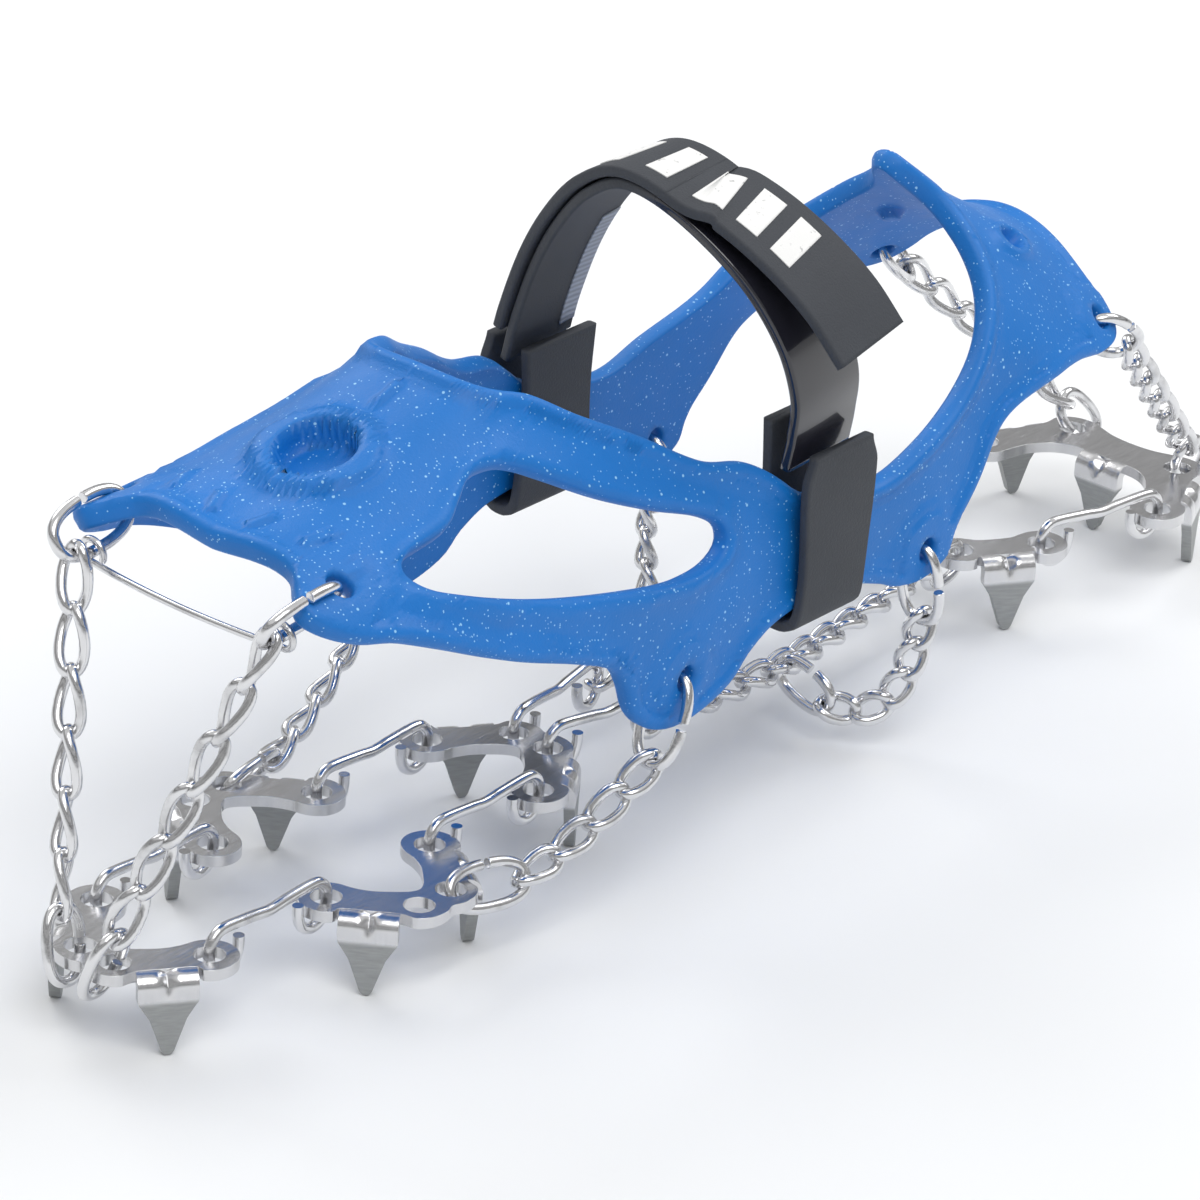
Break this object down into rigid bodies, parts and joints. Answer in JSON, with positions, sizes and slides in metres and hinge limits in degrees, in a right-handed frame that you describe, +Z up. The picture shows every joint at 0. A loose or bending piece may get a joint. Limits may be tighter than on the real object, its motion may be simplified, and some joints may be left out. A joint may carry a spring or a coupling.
{
  "type": "slip-on ice cleat",
  "caption": "Slip-on ice cleat: a stretchy harness and instep strap that hold spiked steel plates, wire hooks and chains under a boot sole.",
  "frame": {"origin": "middle of the base of the bounding box, level with the spike tips", "axes": "+X from toe to heel, +Z up, the strap tail on the -Y side"},
  "size_m": [0.2889, 0.0813, 0.1162],
  "materials": {
    "elastomer": "satin blue elastomer",
    "strap": "matte charcoal, glossy black inside",
    "plate": "pressed sheet with ground spikes",
    "wire": "polished wire"
  },
  "bodies": {
    "harness": {"harness": "elastomer", "strap_keeper": "strap", "strap_far_loop": "strap"},
    "strap": {"strap_arch": "strap", "strap_cover": "strap"},
    "strap_tail": {"strap_tail": "strap"},
    "front_bar": {"front_bar": "wire"},
    "plate_front": {"plate_front": "plate"},
    "plate_left": {"plate_left": "plate"},
    "plate_right": {"plate_right": "plate"},
    "plate_middle": {"plate_middle": "plate"},
    "plate_heel": {"plate_heel": "plate"},
    "plate_rear_left": {"plate_rear_left": "plate"},
    "plate_rear_right": {"plate_rear_right": "plate"},
    "ring_toe_left": {"ring_toe_left": "wire"},
    "end_ring_toe_left": {"end_ring_toe_left": "wire"},
    "chain_toe_left": {"chain_toe_left": "wire"},
    "ring_middle_left": {"ring_middle_left": "wire"},
    "end_ring_middle_left": {"end_ring_middle_left": "wire"},
    "chain_middle_left": {"chain_middle_left": "wire"},
    "ring_heel_left": {"ring_heel_left": "wire"},
    "end_ring_heel_left": {"end_ring_heel_left": "wire"},
    "chain_heel_left": {"chain_heel_left": "wire"},
    "end_ring_sole_left": {"end_ring_sole_left": "wire"},
    "chain_sole_left": {"chain_sole_left": "wire"},
    "end_ring_rear_left": {"end_ring_rear_left": "wire"},
    "ring_rear_left": {"ring_rear_left": "wire"},
    "chain_rear_left": {"chain_rear_left": "wire"},
    "ring_toe_right": {"ring_toe_right": "wire"},
    "end_ring_toe_right": {"end_ring_toe_right": "wire"},
    "chain_toe_right": {"chain_toe_right": "wire"},
    "ring_middle_right": {"ring_middle_right": "wire"},
    "end_ring_middle_right": {"end_ring_middle_right": "wire"},
    "chain_middle_right": {"chain_middle_right": "wire"},
    "ring_heel_right": {"ring_heel_right": "wire"},
    "end_ring_heel_right": {"end_ring_heel_right": "wire"},
    "chain_heel_right": {"chain_heel_right": "wire"},
    "end_ring_sole_right": {"end_ring_sole_right": "wire"},
    "chain_sole_right": {"chain_sole_right": "wire"},
    "end_ring_rear_right": {"end_ring_rear_right": "wire"},
    "ring_rear_right": {"ring_rear_right": "wire"},
    "chain_rear_right": {"chain_rear_right": "wire"},
    "hook_front_left": {"hook_front_left": "wire"},
    "hook_side_left": {"hook_side_left": "wire"},
    "hook_middle_left": {"hook_middle_left": "wire"},
    "hook_heel_left": {"hook_heel_left": "wire"},
    "hook_front_right": {"hook_front_right": "wire"},
    "hook_side_right": {"hook_side_right": "wire"},
    "hook_middle_right": {"hook_middle_right": "wire"},
    "hook_heel_right": {"hook_heel_right": "wire"}
  },
  "joints": [
    {"name": "strap_swing", "type": "hinge", "parent": "harness", "child": "strap", "pos_m": [-0.0015, -0.0274, 0.0675], "axis": [0, 1, 0], "range_deg": [-10, 10], "stiffness_Nm_per_rad": 0.05},
    {"name": "strap_tail_lift", "type": "hinge", "parent": "strap", "child": "strap_tail", "pos_m": [-0.01342, -0.00933, 0.11461], "axis": [-1, 0, 0], "range_deg": [0, 50], "stiffness_Nm_per_rad": 0.01},
    {"name": "front_bar_swing", "type": "hinge", "parent": "harness", "child": "front_bar", "pos_m": [-0.11867, -0.01677, 0.07077], "axis": [0, 1, 0], "range_deg": [-12, 12]},
    {"name": "plate_front_rock", "type": "hinge", "parent": "harness", "child": "plate_front", "pos_m": [-0.1246, 0.0035, 0.013], "axis": [0, 1, 0], "range_deg": [-3, 3]},
    {"name": "plate_left_rock", "type": "hinge", "parent": "harness", "child": "plate_left", "pos_m": [-0.0854, -0.009, 0.013], "axis": [1, 0, 0], "range_deg": [-1.2, 1.2]},
    {"name": "plate_right_rock", "type": "hinge", "parent": "harness", "child": "plate_right", "pos_m": [-0.0854, 0.016, 0.013], "axis": [1, 0, 0], "range_deg": [-1.2, 1.2]},
    {"name": "plate_middle_rock", "type": "hinge", "parent": "harness", "child": "plate_middle", "pos_m": [-0.0459, 0.0035, 0.013], "axis": [0, 1, 0], "range_deg": [-4, 4]},
    {"name": "plate_heel_rock", "type": "hinge", "parent": "harness", "child": "plate_heel", "pos_m": [0.1187, 0.0035, 0.013], "axis": [0, 1, 0], "range_deg": [-2, 0.6]},
    {"name": "plate_rear_left_rock", "type": "hinge", "parent": "harness", "child": "plate_rear_left", "pos_m": [0.0847, -0.006, 0.013], "axis": [0.8387, -0.5446, 0], "range_deg": [-5, 5]},
    {"name": "plate_rear_right_rock", "type": "hinge", "parent": "harness", "child": "plate_rear_right", "pos_m": [0.0847, 0.013, 0.013], "axis": [0.8387, 0.5446, 0], "range_deg": [-5, 5]},
    {"name": "ring_toe_left_swing", "type": "hinge", "parent": "harness", "child": "ring_toe_left", "pos_m": [-0.1093, -0.01891, 0.07558], "axis": [-0.9913, 0.0197, -0.1302], "range_deg": [-4, 4]},
    {"name": "end_ring_toe_left_swing", "type": "hinge", "parent": "harness", "child": "end_ring_toe_left", "pos_m": [-0.13895, -0.00265, 0.02077], "axis": [-0.1835, 0.2846, -0.9409], "range_deg": [-7, 7]},
    {"name": "chain_toe_left_swing", "type": "hinge", "parent": "harness", "child": "chain_toe_left", "pos_m": [-0.12173, -0.01756, 0.07272], "axis": [-0.3035, 0.2628, -0.9158], "range_deg": [-7, 7]},
    {"name": "ring_middle_left_swing", "type": "hinge", "parent": "harness", "child": "ring_middle_left", "pos_m": [-0.03612, -0.02861, 0.03924], "axis": [-0.3817, -0.0256, -0.9239], "range_deg": [-10, 10]},
    {"name": "end_ring_middle_left_swing", "type": "hinge", "parent": "harness", "child": "end_ring_middle_left", "pos_m": [-0.0816, -0.0213, 0.013], "axis": [0.9718, -0.2263, -0.0666], "range_deg": [-4, 4]},
    {"name": "chain_middle_left_swing", "type": "hinge", "parent": "harness", "child": "chain_middle_left", "pos_m": [-0.04035, -0.02928, 0.026], "axis": [-0.8779, 0.151, -0.4543], "range_deg": [-4, 4]},
    {"name": "ring_heel_left_swing", "type": "hinge", "parent": "harness", "child": "ring_heel_left", "pos_m": [0.08598, -0.02008, 0.06227], "axis": [0.8074, -0.0976, -0.5819], "range_deg": [-10, 10]},
    {"name": "end_ring_heel_left_swing", "type": "hinge", "parent": "harness", "child": "end_ring_heel_left", "pos_m": [0.1344, -0.01061, 0.0195], "axis": [0.668, 0.2198, -0.7109], "range_deg": [-4, 4]},
    {"name": "chain_heel_left_swing", "type": "hinge", "parent": "harness", "child": "chain_heel_left", "pos_m": [0.0955, -0.0218, 0.0557], "axis": [0.7163, 0.2061, -0.6667], "range_deg": [-7, 7]},
    {"name": "end_ring_sole_left_swing", "type": "hinge", "parent": "harness", "child": "end_ring_sole_left", "pos_m": [0.07816, -0.00175, 0.013], "axis": [-0.9986, -0.038, -0.038], "range_deg": [-7, 7]},
    {"name": "chain_sole_left_swing", "type": "hinge", "parent": "harness", "child": "chain_sole_left", "pos_m": [-0.00914, -0.00385, 0.01268], "axis": [0.9998, 0.0218, 0.0007], "range_deg": [-7, 7]},
    {"name": "end_ring_rear_left_swing", "type": "hinge", "parent": "harness", "child": "end_ring_rear_left", "pos_m": [0.02319, -0.00519, 0.01143], "axis": [0.0812, -0.9062, -0.415], "range_deg": [-7, 7]},
    {"name": "ring_rear_left_swing", "type": "hinge", "parent": "harness", "child": "ring_rear_left", "pos_m": [0.03094, -0.0265, 0.03931], "axis": [0.1081, -0.0695, -0.9917], "range_deg": [-10, 10]},
    {"name": "chain_rear_left_swing", "type": "hinge", "parent": "harness", "child": "chain_rear_left", "pos_m": [0.03274, -0.02785, 0.0269], "axis": [-0.3659, 0.5356, -0.7611], "range_deg": [-7, 7]},
    {"name": "ring_toe_right_swing", "type": "hinge", "parent": "harness", "child": "ring_toe_right", "pos_m": [-0.1093, 0.02591, 0.07558], "axis": [-0.9913, -0.0197, -0.1302], "range_deg": [-4, 4]},
    {"name": "end_ring_toe_right_swing", "type": "hinge", "parent": "harness", "child": "end_ring_toe_right", "pos_m": [-0.13895, 0.00965, 0.02077], "axis": [-0.1835, -0.2846, -0.9409], "range_deg": [-7, 7]},
    {"name": "chain_toe_right_swing", "type": "hinge", "parent": "harness", "child": "chain_toe_right", "pos_m": [-0.12173, 0.02456, 0.07272], "axis": [-0.3035, -0.2628, -0.9158], "range_deg": [-7, 7]},
    {"name": "ring_middle_right_swing", "type": "hinge", "parent": "harness", "child": "ring_middle_right", "pos_m": [-0.03612, 0.03561, 0.03924], "axis": [-0.3817, 0.0256, -0.9239], "range_deg": [-10, 10]},
    {"name": "end_ring_middle_right_swing", "type": "hinge", "parent": "harness", "child": "end_ring_middle_right", "pos_m": [-0.0816, 0.0283, 0.013], "axis": [0.9718, 0.2263, -0.0666], "range_deg": [-4, 4]},
    {"name": "chain_middle_right_swing", "type": "hinge", "parent": "harness", "child": "chain_middle_right", "pos_m": [-0.04035, 0.03628, 0.026], "axis": [-0.8779, -0.151, -0.4543], "range_deg": [-4, 4]},
    {"name": "ring_heel_right_swing", "type": "hinge", "parent": "harness", "child": "ring_heel_right", "pos_m": [0.08598, 0.02708, 0.06227], "axis": [0.8074, 0.0976, -0.5819], "range_deg": [-10, 10]},
    {"name": "end_ring_heel_right_swing", "type": "hinge", "parent": "harness", "child": "end_ring_heel_right", "pos_m": [0.1344, 0.01761, 0.0195], "axis": [0.668, -0.2198, -0.7109], "range_deg": [-4, 4]},
    {"name": "chain_heel_right_swing", "type": "hinge", "parent": "harness", "child": "chain_heel_right", "pos_m": [0.0955, 0.0288, 0.0557], "axis": [0.7163, -0.2061, -0.6667], "range_deg": [-7, 7]},
    {"name": "end_ring_sole_right_swing", "type": "hinge", "parent": "harness", "child": "end_ring_sole_right", "pos_m": [0.07816, 0.00875, 0.013], "axis": [-0.9986, 0.038, -0.038], "range_deg": [-7, 7]},
    {"name": "chain_sole_right_swing", "type": "hinge", "parent": "harness", "child": "chain_sole_right", "pos_m": [-0.00914, 0.01085, 0.01268], "axis": [0.9998, -0.0218, 0.0007], "range_deg": [-7, 7]},
    {"name": "end_ring_rear_right_swing", "type": "hinge", "parent": "harness", "child": "end_ring_rear_right", "pos_m": [0.02319, 0.01219, 0.01143], "axis": [0.0812, 0.9062, -0.415], "range_deg": [-7, 7]},
    {"name": "ring_rear_right_swing", "type": "hinge", "parent": "harness", "child": "ring_rear_right", "pos_m": [0.03094, 0.0335, 0.03931], "axis": [0.1081, 0.0695, -0.9917], "range_deg": [-10, 10]},
    {"name": "chain_rear_right_swing", "type": "hinge", "parent": "harness", "child": "chain_rear_right", "pos_m": [0.03274, 0.03485, 0.0269], "axis": [-0.3659, -0.5356, -0.7611], "range_deg": [-7, 7]},
    {"name": "hook_front_left_swing", "type": "hinge", "parent": "harness", "child": "hook_front_left", "pos_m": [-0.1246, -0.0089, 0.013], "axis": [1, -0.0037, 0], "range_deg": [-10, 10]},
    {"name": "hook_side_left_swing", "type": "hinge", "parent": "harness", "child": "hook_side_left", "pos_m": [-0.073, -0.009, 0.013], "axis": [1, 0.0037, 0], "range_deg": [-10, 10]},
    {"name": "hook_middle_left_swing", "type": "hinge", "parent": "harness", "child": "hook_middle_left", "pos_m": [-0.0336, -0.0003, 0.013], "axis": [0.9901, -0.1404, 0], "range_deg": [-10, 10]},
    {"name": "hook_heel_left_swing", "type": "hinge", "parent": "harness", "child": "hook_heel_left", "pos_m": [0.09124, -0.01025, 0.013], "axis": [0.9758, -0.2186, 0], "range_deg": [-10, 10]},
    {"name": "hook_front_right_swing", "type": "hinge", "parent": "harness", "child": "hook_front_right", "pos_m": [-0.1246, 0.0159, 0.013], "axis": [1, 0.0037, 0], "range_deg": [-10, 10]},
    {"name": "hook_side_right_swing", "type": "hinge", "parent": "harness", "child": "hook_side_right", "pos_m": [-0.073, 0.016, 0.013], "axis": [1, -0.0037, 0], "range_deg": [-10, 10]},
    {"name": "hook_middle_right_swing", "type": "hinge", "parent": "harness", "child": "hook_middle_right", "pos_m": [-0.0336, 0.0073, 0.013], "axis": [0.9901, 0.1404, 0], "range_deg": [-10, 10]},
    {"name": "hook_heel_right_swing", "type": "hinge", "parent": "harness", "child": "hook_heel_right", "pos_m": [0.09124, 0.01725, 0.013], "axis": [0.9758, 0.2186, 0], "range_deg": [-10, 10]}
  ]
}
